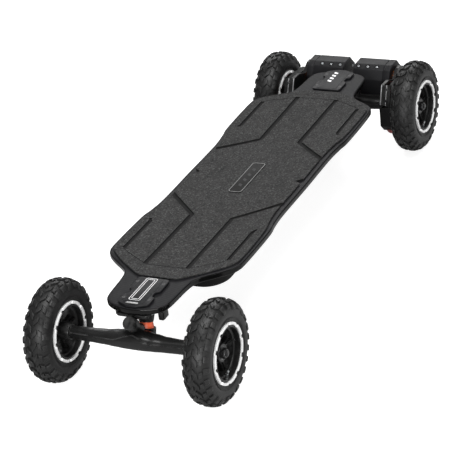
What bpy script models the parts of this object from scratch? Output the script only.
"""Electric all-terrain skateboard: deck, grip, battery box, two trucks, four wheels, twin belt drive.

Metres, +Z up. +X points to the nose, +Y to the board's left, and the wheels stand on Z = 0.
"""
import math

import bmesh
import bpy
from mathutils import Matrix, Vector

# ---------------------------------------------------------------- driving sizes
GAP = 0.0003                      # clearance left between two touching pieces

WHEEL_RADIUS = 0.0889             # seven-inch pneumatic tyre
WHEEL_HALF_WIDTH = 0.0241
HALF_WHEELBASE = 0.4615
HALF_TRACK = 0.1458               # board centre to the middle of a tyre
RIM_RADIUS = 0.0516
AXLE_RADIUS = 0.005
AXLE_HALF_LENGTH = 0.1675
AXLE_BORE_RADIUS = AXLE_RADIUS + 2 * GAP
BARREL_BORE_RADIUS = 0.0446       # inside of the rim, where the hub's web ends

DECK_TOP = 0.1474                 # top of the deck at its middle
DECK_THICKNESS = 0.0115
CONCAVE = 0.44                    # rise of the deck's sides, metres per metre squared
ROCKER = 0.0264                   # rise towards the ends, metres per metre squared
ROCKER_END = 0.36                 # beyond this the deck is straight, so that a truck sits flat
MAT_THICKNESS = 0.0037

# half-outline of the deck and of the mat: distance from the middle, half width
DECK_OUTLINE = (
    (0.0, 0.117), (0.105, 0.1165), (0.150, 0.120), (0.175, 0.1238), (0.230, 0.125), (0.285, 0.1245),
    (0.302, 0.1215), (0.313, 0.115), (0.326, 0.100), (0.338, 0.0835), (0.350, 0.070), (0.3635, 0.0635),
    (0.385, 0.0605), (0.410, 0.059), (0.430, 0.0572), (0.4415, 0.0538), (0.450, 0.0465),
    (0.457, 0.0345), (0.4615, 0.0185), (0.4633, 0.004),
)
MAT_OUTLINE = (
    (0.0, 0.107), (0.105, 0.1065), (0.150, 0.111), (0.178, 0.1165), (0.230, 0.119), (0.284, 0.1188),
    (0.2955, 0.1165), (0.305, 0.1105), (0.324, 0.0910), (0.3425, 0.0665), (0.3590, 0.0425), (0.3635, 0.0300),
)
GROOVE_HALF_WIDTH = 0.0030
GROOVE_DEPTH = 0.002

BOX_HALF_LENGTH = 0.318           # battery and controller box under the deck
BOX_HALF_WIDTH = 0.092
BOX_CORNER = 0.045
BOX_BOTTOM = 0.111
BOX_WALL = 0.003

RING_X = 0.4265                   # middle of the hanger's bushing seat
RING_Z = 0.083
KINGPIN_LEAN = math.radians(20)
STEER_LEAN = math.radians(44.6)   # steering axis, measured from the vertical
PLATE_TOP = 0.139

MOTOR_X = -0.5155
MOTOR_Z = 0.1145
MOTOR_RADIUS = 0.0315
WHEEL_PULLEY_RADIUS = 0.0446      # 56 teeth at 5 mm
MOTOR_PULLEY_RADIUS = 0.0117      # 15 teeth at 5 mm
BELT_THICKNESS = 0.0025
PIVOT_RELIEF_RADIUS = 0.0158

# ---------------------------------------------------------------- scene and helpers
for old_object in list(bpy.data.objects):
    bpy.data.objects.remove(old_object, do_unlink=True)

PARTS = bpy.data.collections.new("electric_skateboard")
CUTTERS = bpy.data.collections.new("cutters")
for collection in (PARTS, CUTTERS):
    bpy.context.scene.collection.children.link(collection)

MATERIALS = {}


def finish(name, colour, roughness, metallic=0.0):
    """A Principled material, made once and shared by name."""
    if name not in MATERIALS:
        material = bpy.data.materials.new(name)
        material.use_nodes = True
        shader = material.node_tree.nodes["Principled BSDF"]
        shader.inputs["Base Color"].default_value = (*colour, 1.0)
        shader.inputs["Roughness"].default_value = roughness
        shader.inputs["Metallic"].default_value = metallic
        MATERIALS[name] = material
    return MATERIALS[name]


CARBON = finish("carbon_deck", (0.030, 0.030, 0.032), 0.35)
FOAM = finish("eva_foam", (0.085, 0.085, 0.085), 0.9)
BLACK_PLASTIC = finish("black_plastic", (0.018, 0.018, 0.019), 0.5)
GREY_PLASTIC = finish("grey_plastic", (0.06, 0.06, 0.062), 0.45)
LENS = finish("clear_lens", (0.45, 0.45, 0.45), 0.2)
CELLS = finish("battery_wrap", (0.02, 0.10, 0.25), 0.4)
FORGED = finish("forged_black_aluminium", (0.022, 0.022, 0.023), 0.3, 0.6)
BARE = finish("machined_aluminium", (0.55, 0.55, 0.56), 0.3, 1.0)
STEEL = finish("zinc_steel", (0.42, 0.42, 0.43), 0.3, 1.0)
URETHANE = finish("orange_urethane", (0.85, 0.12, 0.05), 0.4)
DARK_URETHANE = finish("black_urethane", (0.02, 0.02, 0.02), 0.5)
RUBBER = finish("tyre_rubber", (0.022, 0.022, 0.022), 0.85)
WHITE_RIM = finish("silver_white_rim", (0.78, 0.78, 0.78), 0.35, 0.2)
COPPER = finish("copper_winding", (0.55, 0.20, 0.07), 0.35, 1.0)
RED = finish("red_anodised", (0.35, 0.03, 0.03), 0.35, 0.8)


def add_object(name, mesh, material, parent=None, collection=PARTS):
    """Link a mesh as a named object with one material."""
    mesh.materials.clear()
    mesh.materials.append(material)
    obj = bpy.data.objects.new(name, mesh)
    obj.parent = parent
    collection.objects.link(obj)
    return obj


def mesh_from(name, shape):
    """Turn a bmesh into a mesh whose faces look outwards."""
    bmesh.ops.recalc_face_normals(shape, faces=shape.faces)
    mesh = bpy.data.meshes.new(name)
    shape.to_mesh(mesh)
    shape.free()
    return mesh


def empty(name, location, rotation=(0.0, 0.0, 0.0), parent=None):
    """A frame that a moving body hangs on."""
    frame = bpy.data.objects.new(name, None)
    frame.location = location
    frame.rotation_euler = rotation
    frame.parent = parent
    frame.empty_display_size = 0.02
    PARTS.objects.link(frame)
    return frame


def bevel(obj, width, segments=1):
    """Round the sharp edges of a part."""
    modifier = obj.modifiers.new("rounded_edges", "BEVEL")
    modifier.width = width
    modifier.segments = segments
    modifier.limit_method = "ANGLE"
    modifier.angle_limit = math.radians(40)


def box(name, low, high, material, parent=None, collection=PARTS):
    """A block between two corners."""
    low = Vector(low)
    high = Vector(high)
    shape = bmesh.new()
    bmesh.ops.create_cube(shape, size=1.0)
    bmesh.ops.scale(shape, vec=high - low, verts=shape.verts)
    bmesh.ops.translate(shape, vec=(low + high) / 2, verts=shape.verts)
    return add_object(name, mesh_from(name, shape), material, parent, collection)


def cylinder(name, start, end, radius, material, parent=None, sides=14, tip_radius=None, collection=PARTS):
    """A round bar, or a cone when a tip radius is given, between two points."""
    start = Vector(start)
    end = Vector(end)
    along = end - start
    shape = bmesh.new()
    bmesh.ops.create_cone(
        shape, cap_ends=True, segments=sides, radius1=radius,
        radius2=radius if tip_radius is None else tip_radius, depth=along.length)
    turn = Vector((0, 0, 1)).rotation_difference(along).to_matrix().to_4x4()
    bmesh.ops.transform(shape, matrix=Matrix.Translation((start + end) / 2) @ turn, verts=shape.verts)
    return add_object(name, mesh_from(name, shape), material, parent, collection)


def turned(name, profile, material, parent=None, steps=32, collection=PARTS):
    """A closed (radius, height) profile spun about the local Z axis, outer side first, downwards."""
    mesh = bpy.data.meshes.new(name)
    count = len(profile)
    points = [(radius, 0.0, height) for radius, height in profile]
    edges = [(index, (index + 1) % count) for index in range(count)]
    mesh.from_pydata(points, edges, [])
    obj = add_object(name, mesh, material, parent, collection)
    screw = obj.modifiers.new("turned", "SCREW")
    screw.steps = steps
    screw.render_steps = steps
    screw.use_merge_vertices = True
    screw.merge_threshold = 0.00001
    return obj


def flat(name, outlines, low, high, material, parent=None, collection=PARTS):
    """A flat outline (and any holes) in the local XY plane, as thick as low to high along Z."""
    curve = bpy.data.curves.new(name, "CURVE")
    curve.dimensions = "2D"
    curve.fill_mode = "BOTH"
    curve.extrude = (high - low) / 2
    for outline in outlines:
        spline = curve.splines.new("POLY")
        spline.points.add(len(outline) - 1)
        spline.use_cyclic_u = True
        for point, (across, up) in zip(spline.points, outline):
            point.co = (across, up, 0.0, 1.0)
    source = bpy.data.objects.new(name + "_outline", curve)
    bpy.context.scene.collection.objects.link(source)
    bpy.context.view_layer.update()
    evaluated = source.evaluated_get(bpy.context.evaluated_depsgraph_get())
    raw = bpy.data.meshes.new_from_object(evaluated)
    bpy.data.objects.remove(source, do_unlink=True)
    shape = bmesh.new()
    shape.from_mesh(raw)
    bmesh.ops.remove_doubles(shape, verts=shape.verts, dist=0.000001)
    bmesh.ops.translate(shape, vec=(0.0, 0.0, (low + high) / 2), verts=shape.verts)
    return add_object(name, mesh_from(name, shape), material, parent, collection)


def loft(name, rings, material, parent=None, collection=PARTS):
    """A closed skin over rings that have equal numbers of points."""
    shape = bmesh.new()
    rows = [[shape.verts.new(point) for point in ring] for ring in rings]
    count = len(rows[0])
    for row, following in zip(rows, rows[1:]):
        for index in range(count):
            ahead = (index + 1) % count
            shape.faces.new((row[index], row[ahead], following[ahead], following[index]))
    shape.faces.new(rows[0])
    shape.faces.new(reversed(rows[-1]))
    return add_object(name, mesh_from(name, shape), material, parent, collection)


def combine(target, tool, operation):
    """Join a tool to a part, or cut it away, with an exact Boolean."""
    modifier = target.modifiers.new(operation.lower() + "_" + tool.name, "BOOLEAN")
    modifier.operation = operation
    modifier.solver = "EXACT"
    modifier.object = tool
    tool.hide_render = True
    tool.display_type = "WIRE"


def arc(centre, radius, start, end, count):
    """Points on an arc, angles in degrees, both ends included."""
    angles = [math.radians(start + (end - start) * index / (count - 1)) for index in range(count)]
    return [(centre[0] + radius * math.cos(a), centre[1] + radius * math.sin(a)) for a in angles]


def circle(centre, radius, count):
    """Points on a full circle."""
    return arc(centre, radius, 0, 360 * (count - 1) / count, count)


def capsule(first, first_radius, second, second_radius, count):
    """The outline of a band drawn tight around two circles."""
    dx = second[0] - first[0]
    dy = second[1] - first[1]
    heading = math.degrees(math.atan2(dy, dx))
    spread = math.degrees(math.acos((first_radius - second_radius) / math.hypot(dx, dy)))
    return (arc(first, first_radius, heading + spread, heading + 360 - spread, count)
            + arc(second, second_radius, heading - spread, heading + spread, max(count // 2, 6)))


# ---------------------------------------------------------------- the deck's curved surface
def deck_height(x, y):
    """Height of the deck's top face."""
    along = min(abs(x), ROCKER_END)
    return DECK_TOP + CONCAVE * y * y + ROCKER * along * along


def mirrored_stations(outline):
    """Turn a half outline into stations from tail to nose."""
    return [(-x, width) for x, width in reversed(outline)] + list(outline[1:])


def curved_slab(name, outline, low, high, edge, material):
    """A slab that follows the deck, between two heights above the deck's top face."""
    across = [step / 4 for step in range(-4, 5)]
    rings = []
    for x, width in mirrored_stations(outline):
        inner = width - min(edge, width / 2)
        top = [(x, inner * t, deck_height(x, inner * t) + high) for t in across]
        bottom = [(x, inner * t, deck_height(x, inner * t) + low) for t in reversed(across)]
        side = deck_height(x, width)
        left = [(x, width, side + high - edge), (x, width, side + low + edge)]
        right = [(x, -width, side + low + edge), (x, -width, side + high - edge)]
        rings.append(top + left + bottom + right)
    return loft(name, rings, material)


def ribbon(name, path, half_width, low, high):
    """A cutter of even width that follows a path over the mat, between two heights above the deck."""
    points = [Vector(point) for point in path]
    rings = []
    for index, point in enumerate(points):
        before = (point - points[index - 1]).normalized() if index else None
        after = (points[index + 1] - point).normalized() if index + 1 < len(points) else None
        heading = (before or after) + (after or before)
        heading.normalize()
        side = Vector((-heading.y, heading.x))
        reach = half_width / abs((after or before).dot(heading))
        left = point + side * reach
        right = point - side * reach
        rings.append([
            (left.x, left.y, deck_height(*left) + high), (right.x, right.y, deck_height(*right) + high),
            (right.x, right.y, deck_height(*right) + low), (left.x, left.y, deck_height(*left) + low)])
    return loft(name, rings, FOAM, collection=CUTTERS)


def even_path(corners, step):
    """Add points along straight runs, so that a groove can follow the curve of the deck."""
    path = [corners[0]]
    for (x0, y0), (x1, y1) in zip(corners, corners[1:]):
        pieces = max(1, round(math.hypot(x1 - x0, y1 - y0) / step))
        path += [(x0 + (x1 - x0) * n / pieces, y0 + (y1 - y0) * n / pieces) for n in range(1, pieces + 1)]
    return path


def make_deck():
    """The deck and the foam mat with its moulded grooves."""
    deck_edge = 0.003
    curved_slab("deck", DECK_OUTLINE, -DECK_THICKNESS, 0.0, deck_edge, CARBON)
    mat_edge = 0.0012
    mat = curved_slab("grip_mat", MAT_OUTLINE, GAP, GAP + MAT_THICKNESS, mat_edge, FOAM)
    floor = GAP + MAT_THICKNESS - GROOVE_DEPTH
    above = 0.008
    step = 0.1
    for end in (1, -1):
        for side in (1, -1):
            label = f"{'front' if end > 0 else 'rear'}_{'left' if side > 0 else 'right'}"
            bend = [(0.3295, 0.040), (0.149, 0.039), (0.080, 0.116)]
            slot = [(0.292, 0.0985), (0.190, 0.0985)]
            for kind, corners in (("bend", bend), ("slot", slot)):
                path = even_path([(end * x, side * y) for x, y in corners], step)
                tool = ribbon(f"{kind}_cutter_{label}", path, GROOVE_HALF_WIDTH, floor, above)
                combine(mat, tool, "DIFFERENCE")
    for side in (1, -1):
        notch = [(-0.014, side * 0.114), (0.0, side * 0.0955), (0.014, side * 0.114)]
        tool = flat(f"notch_cutter_{side}", [notch], DECK_TOP - 0.01, DECK_TOP + 0.03, FOAM,
                    collection=CUTTERS)
        combine(mat, tool, "DIFFERENCE")


def chamfered_rectangle(half_length, half_width, cut):
    """A rectangle with its four corners cut off."""
    a = half_length
    b = half_width
    return [(a, b - cut), (a - cut, b), (cut - a, b), (-a, b - cut),
            (-a, cut - b), (cut - a, -b), (a - cut, -b), (a, cut - b)]


def make_top_plates():
    """Raised plates over the truck bolts, the nose light and the centre badge."""
    low = deck_height(ROCKER_END, 0.0) + 0.0009
    high = low + 0.0042
    half = [(0.461, 0.008), (0.452, 0.027), (0.448, 0.029), (0.4285, 0.029), (0.426, 0.0222),
            (0.4125, 0.0222), (0.408, 0.029), (0.374, 0.029), (0.3705, 0.0255)]
    outline = half + [(x, -y) for x, y in reversed(half)]
    cap = flat("nose_cap", [outline], low, high, GREY_PLASTIC)
    bevel(cap, 0.0008)
    cap = flat("tail_cap", [[(-x, y) for x, y in outline]], low, high, GREY_PLASTIC)
    bevel(cap, 0.0008)
    light_top = high + GAP + 0.001
    light = box("nose_light", (0.4515, -0.011, high + GAP), (0.4555, 0.011, light_top), LENS)
    bevel(light, 0.0003)
    badge_low = deck_height(0.0, 0.0) + GAP + MAT_THICKNESS + 0.0006
    badge = flat("centre_badge", [chamfered_rectangle(0.0572, 0.0135, 0.004)], badge_low, badge_low + 0.001,
                 BLACK_PLASTIC)
    bevel(badge, 0.0003)


# ---------------------------------------------------------------- battery box
def rounded_rectangle(half_length, half_width, corner, per_corner=5):
    """A rectangle with round corners, and a few points along its sides to follow the deck."""
    a = half_length - corner
    b = half_width - corner
    along = [a * step / 5 for step in (3, 1, -1, -3)]
    return (arc((a, b), corner, 0, 90, per_corner) + [(x, half_width) for x in along]
            + arc((-a, b), corner, 90, 180, per_corner) + [(-half_length, 0.0)]
            + arc((-a, -b), corner, 180, 270, per_corner) + [(-x, -half_width) for x in along]
            + arc((a, -b), corner, 270, 360, per_corner) + [(half_length, 0.0)])


def make_battery_box():
    """The tray under the deck with the battery, the speed controller, the port and the button."""
    def ring(inset, height=None):
        points = rounded_rectangle(BOX_HALF_LENGTH - inset, BOX_HALF_WIDTH - inset, BOX_CORNER - inset)
        if height is None:
            return [(x, y, deck_height(x, y) - DECK_THICKNESS - 2.5 * GAP) for x, y in points]
        return [(x, y, height) for x, y in points]

    chamfer = 0.006
    outside = [ring(chamfer, BOX_BOTTOM), ring(0.0, BOX_BOTTOM + chamfer), ring(0.0)]
    inside = [ring(BOX_WALL), ring(BOX_WALL, BOX_BOTTOM + chamfer), ring(chamfer, BOX_BOTTOM + BOX_WALL)]
    tray = loft("battery_box", outside + inside, BLACK_PLASTIC)
    port_x = -0.235
    button_x = -0.205
    side_z = 0.1245
    hole = 0.0063
    for label, x in (("port", port_x), ("button", button_x)):
        tool = cylinder(f"{label}_cutter", (x, 0.08, side_z), (x, 0.1, side_z), hole, BLACK_PLASTIC,
                        sides=14, collection=CUTTERS)
        combine(tray, tool, "DIFFERENCE")

    outboard = (math.radians(-90), 0.0, 0.0)
    inner_face = BOX_HALF_WIDTH - BOX_WALL
    port = turned("charge_port", [
        (0.0075, 0.0018), (0.0075, GAP), (0.006, GAP), (0.006, -0.012), (0.0035, -0.012), (0.0035, 0.0018)],
        BLACK_PLASTIC, steps=14)
    port.location = (port_x, BOX_HALF_WIDTH, side_z)
    port.rotation_euler = outboard
    frame = empty("button_frame", (button_x, inner_face, side_z), outboard)
    turned("power_button", [
        (0.0, 0.0062), (0.0052, 0.0062), (0.006, 0.0055), (0.006, -GAP), (0.0078, -GAP), (0.0078, -0.002),
        (0.0, -0.002)], BARE, parent=frame, steps=14)

    floor = BOX_BOTTOM + BOX_WALL + GAP
    battery = box("battery_pack", (-0.185, -0.076, floor), (0.270, 0.076, 0.1335), CELLS)
    bevel(battery, 0.004, 2)
    controller = box("speed_controller", (-0.272, -0.062, floor), (-0.192, 0.062, 0.1315), BARE)
    bevel(controller, 0.002)


# ---------------------------------------------------------------- trucks
def leaning(lean):
    """Unit vector in the XZ plane that leans forwards by an angle from the vertical."""
    return Vector((math.sin(lean), 0.0, math.cos(lean)))


RING = Vector((RING_X, 0.0, RING_Z))
KINGPIN_AXIS = leaning(-KINGPIN_LEAN)
STEER_AXIS = leaning(STEER_LEAN)


def kingpin_point(distance):
    """A point on the kingpin's axis, measured upwards from the bushing seat."""
    return RING + KINGPIN_AXIS * distance


def steer_point(distance):
    """A point on the steering axis, measured upwards from the bushing seat."""
    return RING + STEER_AXIS * distance


def on_kingpin(obj):
    """Stand a turned part on the kingpin, with its origin at the bushing seat."""
    obj.location = RING
    obj.rotation_euler = (0.0, -KINGPIN_LEAN, 0.0)
    return obj


def superellipse(x, z, half_x, half_z, y, count=12):
    """One section of the forged hanger."""
    power = 2 / 2.6
    points = []
    for index in range(count):
        angle = 2 * math.pi * index / count
        c = math.cos(angle)
        s = math.sin(angle)
        points.append((x + half_x * math.copysign(abs(c) ** power, c), y,
                       z + half_z * math.copysign(abs(s) ** power, s)))
    return points


def make_hanger(name, arm_end, parent):
    """The forged hanger: two arms, a bushing ring and a pivot nose, bored for the axle."""
    half = [
        (0.0, 0.456, 0.0915, 0.0235, 0.0165), (0.016, 0.4565, 0.091, 0.0225, 0.0155),
        (0.034, 0.459, 0.0893, 0.018, 0.013), (0.055, 0.4608, 0.0886, 0.014, 0.0115),
        (0.083, HALF_WHEELBASE, WHEEL_RADIUS, 0.0118, 0.0112),
        (arm_end, HALF_WHEELBASE, WHEEL_RADIUS, 0.0105, 0.0105),
    ]
    stations = [(-y, *rest) for y, *rest in reversed(half)] + half[1:]
    rings = [superellipse(x, z, half_x, half_z, y) for y, x, z, half_x, half_z in stations]
    hanger = loft(name, rings, FORGED, parent)
    hanger.location = -RING
    seat = cylinder(name + "_seat", kingpin_point(-0.0058) - RING, kingpin_point(0.010) - RING, 0.0165,
                    FORGED, parent, sides=16, collection=CUTTERS)
    nose = cylinder(name + "_nose", steer_point(0.026) - RING, steer_point(0.0470) - RING, 0.0125, FORGED,
                    parent, tip_radius=0.0062, collection=CUTTERS)
    tip = cylinder(name + "_tip", steer_point(0.0455) - RING, steer_point(0.0577) - RING, 0.0062, FORGED,
                   parent, tip_radius=0.0056, collection=CUTTERS)
    hollow = cylinder(name + "_hollow", kingpin_point(0.0045) - RING, kingpin_point(0.05) - RING, 0.0143,
                      FORGED, parent, sides=16, collection=CUTTERS)
    pin_hole = cylinder(name + "_pin_hole", kingpin_point(-0.05) - RING, kingpin_point(0.01) - RING, 0.0075,
                        FORGED, parent, sides=16, collection=CUTTERS)
    under = cylinder(name + "_under", kingpin_point(-0.05) - RING, kingpin_point(-0.0045) - RING, 0.0150,
                     FORGED, parent, sides=16, collection=CUTTERS)
    middle = Vector((HALF_WHEELBASE, 0.0, WHEEL_RADIUS)) - RING
    reach = Vector((0.0, 0.2, 0.0))
    bore = cylinder(name + "_bore", middle - reach, middle + reach, AXLE_BORE_RADIUS, FORGED, parent,
                    sides=12, collection=CUTTERS)
    for tool in (nose, tip, seat):
        combine(hanger, tool, "UNION")
    for tool in (hollow, under, pin_hole, bore):
        combine(hanger, tool, "DIFFERENCE")
    return hanger


def make_baseplate(name, parent):
    """The plate bolted under the deck, with the kingpin boss and the pivot housing."""
    plate = box(name, (0.376, -0.029, PLATE_TOP - 0.006), (0.462, 0.029, PLATE_TOP), FORGED, parent)
    boss = cylinder(name + "_boss", kingpin_point(0.0212), kingpin_point(0.053), 0.0125, FORGED, parent,
                    tip_radius=0.016, collection=CUTTERS)
    housing = cylinder(name + "_housing", steer_point(0.0482), steer_point(0.068), 0.0135, FORGED, parent,
                       collection=CUTTERS)
    rib = box(name + "_rib", (0.447, -0.0105, 0.1235), (0.4775, 0.0105, PLATE_TOP - 0.001), FORGED, parent,
              collection=CUTTERS)
    for tool in (boss, housing, rib):
        combine(plate, tool, "UNION")
    for side in (1, -1):
        lug = box(f"{name}_lug_{side}", (0.412, min(side * 0.024, side * 0.046), PLATE_TOP - 0.006),
                  (0.442, max(side * 0.024, side * 0.046), PLATE_TOP - 0.0005), FORGED, parent,
                  collection=CUTTERS)
        foot = box(f"{name}_foot_{side}", (0.415, min(side * 0.034, side * 0.045), 0.1165),
                   (0.439, max(side * 0.034, side * 0.045), PLATE_TOP - 0.003), FORGED, parent,
                   collection=CUTTERS)
        combine(plate, lug, "UNION")
        combine(plate, foot, "UNION")
    trim = box(name + "_trim", (0.3, -0.1, PLATE_TOP), (0.5, 0.1, PLATE_TOP + 0.03), FORGED, parent,
               collection=CUTTERS)
    pin_hole = cylinder(name + "_pin_hole", kingpin_point(0.0), kingpin_point(0.08), AXLE_BORE_RADIUS,
                        FORGED, parent, sides=12, collection=CUTTERS)
    head_room = cylinder(name + "_head_room", kingpin_point(0.046), kingpin_point(0.08), 0.0093, FORGED,
                         parent, sides=16, collection=CUTTERS)
    cup_bore = cylinder(name + "_cup_bore", steer_point(0.02), steer_point(0.0613), 0.0099, FORGED, parent,
                        sides=16, collection=CUTTERS)
    for tool in (trim, pin_hole, head_room, cup_bore):
        combine(plate, tool, "DIFFERENCE")
    return plate


def make_truck(end, turn, arm_end):
    """One truck. It is modelled at the nose, and turned about Z for the tail."""
    frame = empty(f"{end}_truck_frame", (0.0, 0.0, 0.0), (0.0, 0.0, turn))
    make_baseplate(f"{end}_baseplate", frame)
    on_kingpin(turned(f"{end}_kingpin", [
        (0.0, 0.0515), (0.009, 0.0515), (0.009, 0.0463), (AXLE_RADIUS, 0.0463), (AXLE_RADIUS, -0.0275),
        (0.0, -0.0275)], STEEL, frame, steps=20))
    on_kingpin(turned(f"{end}_upper_bushing", [
        (0.0108, 0.0208), (0.0126, 0.013), (0.0136, 0.0049), (AXLE_BORE_RADIUS, 0.0049),
        (AXLE_BORE_RADIUS, 0.0208)],
        URETHANE, frame, steps=16))
    on_kingpin(turned(f"{end}_lower_bushing", [
        (0.0125, -0.0049), (0.012, -0.011), (0.0105, -0.0165), (AXLE_BORE_RADIUS, -0.0165),
        (AXLE_BORE_RADIUS, -0.0049)],
        URETHANE, frame, steps=16))
    on_kingpin(turned(f"{end}_kingpin_nut", [
        (0.0125, -0.0168), (0.0125, -0.0188), (0.0094, -0.0192), (0.0094, -0.0255),
        (AXLE_BORE_RADIUS, -0.0255), (AXLE_BORE_RADIUS, -0.0168)], STEEL, frame, steps=16))
    cup = turned(f"{end}_pivot_cup", [
        (0.0, 0.0608), (0.0095, 0.0608), (0.0095, 0.0488), (0.0066, 0.0488), (0.0066, 0.0581),
        (0.0, 0.0581)],
        DARK_URETHANE, frame, steps=16)
    cup.location = RING
    cup.rotation_euler = (0.0, STEER_LEAN, 0.0)
    steer_frame = empty(f"{end}_steer_frame", RING, parent=frame)
    make_hanger(f"{end}_hanger", arm_end, steer_frame)
    middle = Vector((HALF_WHEELBASE, 0.0, WHEEL_RADIUS)) - RING
    reach = Vector((0.0, AXLE_HALF_LENGTH, 0.0))
    cylinder(f"{end}_axle", middle - reach, middle + reach, AXLE_RADIUS, STEEL, steer_frame, sides=16)


# ---------------------------------------------------------------- wheels
def make_tyre(name, frame):
    """An open casing: tread outside, hollow inside for its air tube, beads on the rim."""
    half = [
        (WHEEL_RADIUS, 0.0085), (0.0815, 0.0198), (0.0700, 0.0236), (0.0525, 0.0201), (0.0481, 0.0201),
        (0.0481, 0.0150), (0.0815, 0.0130)]
    profile = [(radius, -width) for radius, width in half]
    profile += [(radius, width) for radius, width in reversed(half)]
    turned(name, profile, RUBBER, frame, steps=28)


def make_rim(name, frame):
    """The pale rim: a barrel with a ring-shaped flange on each side."""
    half = WHEEL_HALF_WIDTH
    turned(name, [
        (RIM_RADIUS, half), (RIM_RADIUS, 0.0204), (0.0477, 0.0204), (0.0477, -0.0204),
        (RIM_RADIUS, -0.0204), (RIM_RADIUS, -half), (BARREL_BORE_RADIUS, -half), (BARREL_BORE_RADIUS, half)],
        WHITE_RIM, frame, steps=28)


def make_hub(name, frame):
    """The black five-spoke centre, with a boss on the axle."""
    outer = BARREL_BORE_RADIUS - GAP
    windows = 5
    loops = [circle((0.0, 0.0), outer, 28), circle((0.0, 0.0), 0.012, 10)]
    for index in range(windows):
        middle = 360 * index / windows
        far = arc((0.0, 0.0), 0.039, middle - 22, middle + 22, 4)
        near = arc((0.0, 0.0), 0.0215, middle + 14, middle - 14, 2)
        loops.append(far + near)
    web = flat(name, loops, -0.006, 0.006, FORGED, frame)
    boss = turned(name + "_boss", [
        (0.0155, 0.0122), (0.0155, -0.0200), (0.0135, -0.0258), (AXLE_BORE_RADIUS, -0.0258),
        (AXLE_BORE_RADIUS, 0.0122)], FORGED, frame, steps=12, collection=CUTTERS)
    combine(web, boss, "UNION")


def make_wheel(end, side):
    """Tyre, rim and hub on a frame whose Z axis is the axle, pointing outboard."""
    x = HALF_WHEELBASE if end == "front" else -HALF_WHEELBASE
    sign = 1 if side == "left" else -1
    name = f"{end}_{side}"
    frame = empty(f"{name}_wheel_frame", (x, sign * HALF_TRACK, WHEEL_RADIUS),
                  (math.radians(-90) * sign, 0.0, 0.0))
    make_tyre(f"{name}_tyre", frame)
    make_rim(f"{name}_rim", frame)
    make_hub(f"{name}_hub", frame)
    nut_low = 0.0125
    bore = circle((0.0, 0.0), AXLE_BORE_RADIUS, 14)
    flat(f"{name}_axle_nut", [circle((0.0, 0.0), 0.0092, 6), bore], nut_low, nut_low + 0.0065, STEEL, frame)
    return frame


# ---------------------------------------------------------------- belt drive
def drive_frame(name, x, z, sign):
    """A frame on the board's centre line whose Z axis points outboard."""
    return empty(name, (x, 0.0, z), (math.radians(-90) * sign, 0.0, 0.0))


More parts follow.
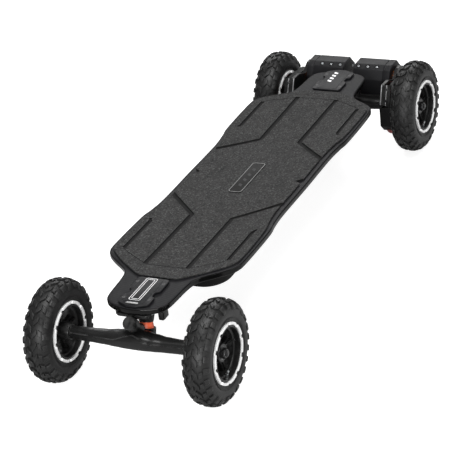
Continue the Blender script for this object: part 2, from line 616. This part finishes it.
def make_drive(side):
    """One motor with its mount, pulleys, belt and covers. Outlines are (forward, up) from the axle."""
    sign = 1 if side == "left" else -1
    axle = drive_frame(f"{side}_drive_frame", -HALF_WHEELBASE, WHEEL_RADIUS, sign)
    motor = drive_frame(f"{side}_motor_frame", MOTOR_X, MOTOR_Z, sign)
    motor_at = (MOTOR_X + HALF_WHEELBASE, MOTOR_Z - WHEEL_RADIUS)
    origin = (0.0, 0.0)

    def upright(points):
        return [(x, -sign * z) for x, z in points]

    mount_low = 0.0925
    mount_high = 0.0985
    wing = [(0.0, 0.012), (0.0492, 0.0199), (0.0318, 0.0554), (0.0060, 0.0540), (-0.0400, 0.0360)]
    mount = flat(f"{side}_motor_mount", [upright(capsule(origin, 0.018, motor_at, 0.0310, 18))], mount_low,
                 mount_high, BARE, axle)
    wing_plate = flat(f"{side}_mount_wing", [upright(wing)], mount_low, mount_high, BARE, axle,
                      collection=CUTTERS)
    wall = [(0.0492, 0.0199), (0.0318, 0.0554), (0.0285, 0.0540), (0.0459, 0.0185)]
    front_wall = flat(f"{side}_mount_wall", [upright(wall)], mount_low, 0.1125, BARE, axle,
                      collection=CUTTERS)
    arm_hole = flat(f"{side}_arm_cutter", [circle(origin, 0.0121, 16)], 0.08, 0.12, BARE, axle,
                    collection=CUTTERS)
    shaft_hole = flat(f"{side}_shaft_cutter", [upright(circle(motor_at, 0.0075, 14))], 0.08, 0.12, BARE,
                      axle, collection=CUTTERS)
    for tool in (wing_plate, front_wall):
        combine(mount, tool, "UNION")
    for tool in (arm_hole, shaft_hole):
        combine(mount, tool, "DIFFERENCE")

    guard_low = mount_low
    outer = [(0.0525, 0.0165), (0.0545, -0.0230), (0.0400, -0.0410)]
    inner = [(0.0378, -0.0380), (0.0514, -0.0215), (0.0498, 0.0150)]
    guard = flat(f"{side}_belt_guard", [upright(outer + inner)], guard_low, 0.1185, BLACK_PLASTIC, axle)
    lining = outer + [(0.0190, -0.0220), (0.0225, 0.0080)]
    backing = flat(f"{side}_guard_backing", [upright(lining)], guard_low, guard_low + 0.003,
                   BLACK_PLASTIC, axle, collection=CUTTERS)
    combine(guard, backing, "UNION")

    pulley_low = 0.1002
    pulley_high = 0.1164
    turned(f"{side}_wheel_pulley", [
        (WHEEL_PULLEY_RADIUS, pulley_high), (WHEEL_PULLEY_RADIUS, pulley_low), (0.037, pulley_low),
        (0.037, 0.106), (0.014, 0.106), (0.014, 0.0993), (AXLE_BORE_RADIUS, 0.0993),
        (AXLE_BORE_RADIUS, 0.1197), (0.014, 0.1197), (0.014, 0.1115), (0.037, 0.1115),
        (0.037, pulley_high)], RED, axle, steps=20)
    turned(f"{side}_motor_pulley", [
        (MOTOR_PULLEY_RADIUS, pulley_high), (MOTOR_PULLEY_RADIUS, pulley_low), (0.0045, pulley_low),
        (0.0045, pulley_high)], STEEL, motor, steps=16)
    belt_big = WHEEL_PULLEY_RADIUS + GAP
    belt_small = MOTOR_PULLEY_RADIUS + GAP
    flat(f"{side}_belt", [
        upright(capsule(origin, belt_big + BELT_THICKNESS, motor_at, belt_small + BELT_THICKNESS, 20)),
        upright(capsule(origin, belt_big + GAP, motor_at, belt_small + GAP, 20))],
        pulley_low + 0.0012, pulley_high - 0.0012, RUBBER, axle)

    turned(f"{side}_motor_stator", [
        (0.026, mount_low - GAP), (0.026, 0.0895), (0.0095, 0.0895), (0.0095, 0.0825), (0.0225, 0.0825),
        (0.0225, 0.0350), (0.0095, 0.0350), (0.0095, 0.0250), (0.0047, 0.0250), (0.0047, mount_low - GAP)],
        COPPER, motor, steps=16)
    turned(f"{side}_motor_rotor", [
        (0.0, 0.1170), (0.0040, 0.1170), (0.0040, 0.0235), (0.0240, 0.0235), (0.0240, 0.0875),
        (0.0272, 0.0875), (MOTOR_RADIUS, 0.0850), (MOTOR_RADIUS, 0.0215), (0.0285, 0.0185),
        (0.0, 0.0185)], FORGED, motor, steps=24)

    outline = [(0.0135, 0.0385), (0.0270, 0.0330), (0.0370, 0.0150), (0.0370, -0.0160),
               (0.0230, -0.0350), (0.0100, -0.0385), (-0.0125, -0.0385), (-0.0345, -0.0160),
               (-0.0345, 0.0160), (-0.0135, 0.0385)]
    cover = flat(f"{side}_motor_cover", [upright(outline)], 0.0110, mount_low - 0.0035, GREY_PLASTIC, motor)
    bevel(cover, 0.0015)
    room = cylinder(f"{side}_cover_cutter", (0.0, 0.0, 0.0150), (0.0, 0.0, 0.12), MOTOR_RADIUS + 0.0012,
                    GREY_PLASTIC, motor, sides=28, collection=CUTTERS)
    relief = cylinder(f"{side}_cover_relief", steer_point(0.035), steer_point(0.080), PIVOT_RELIEF_RADIUS,
                      GREY_PLASTIC, bpy.data.objects["rear_truck_frame"], sides=28, collection=CUTTERS)
    for tool in (room, relief):
        combine(cover, tool, "DIFFERENCE")


def main():
    """Build every sub-part."""
    make_deck()
    make_top_plates()
    make_battery_box()
    front_arm_end = 0.1192
    rear_arm_end = 0.0990
    make_truck("front", 0.0, front_arm_end)
    make_truck("rear", math.pi, rear_arm_end)
    for end in ("front", "rear"):
        for side in ("left", "right"):
            make_wheel(end, side)
    for side in ("left", "right"):
        make_drive(side)


main()
